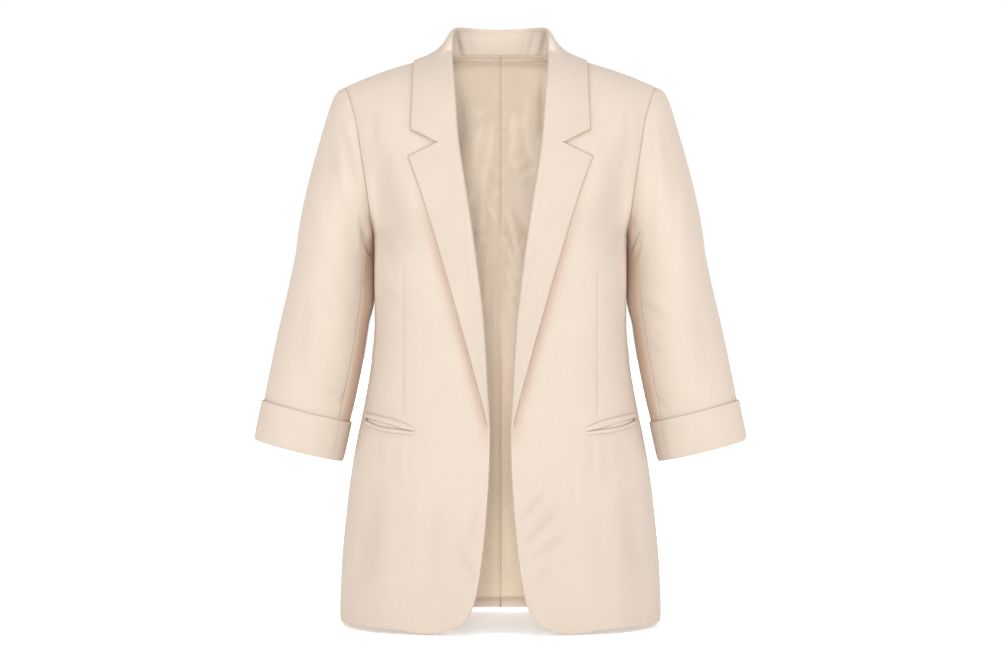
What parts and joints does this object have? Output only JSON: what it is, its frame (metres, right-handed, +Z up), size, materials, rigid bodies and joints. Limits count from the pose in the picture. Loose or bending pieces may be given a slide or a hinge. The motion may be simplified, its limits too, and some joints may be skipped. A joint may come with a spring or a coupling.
{
  "type": "open front blazer",
  "caption": "Open-front blazer with notched lapels, waist darts, welt pockets and turned-back cuffs, hollow as if worn.",
  "frame": {"origin": "centre of the neck's base, level with the nape and in the plane of the shoulder seams", "axes": "+Z up along the garment's length, -Y to the front, +X to the wearer's left"},
  "size_m": [0.6114, 0.2395, 0.7467],
  "materials": {
    "suiting": "matt smooth crepe suiting in pale nude",
    "lining": "soft sheen lining cloth in warm beige"
  },
  "bodies": {
    "root": {"front_left": "suiting", "front_right": "suiting", "back_left": "suiting", "back_right": "suiting", "top_sleeve_left": "suiting", "top_sleeve_right": "suiting", "under_sleeve_left": "suiting", "under_sleeve_right": "suiting", "cuff_left": "suiting", "cuff_right": "suiting", "lapel_left": "suiting", "lapel_right": "suiting", "collar": "suiting", "welt_upper_left": "suiting", "welt_upper_right": "suiting", "welt_lower_left": "suiting", "welt_lower_right": "suiting", "lining_back_left": "lining", "lining_back_right": "lining"}
  },
  "joints": []
}
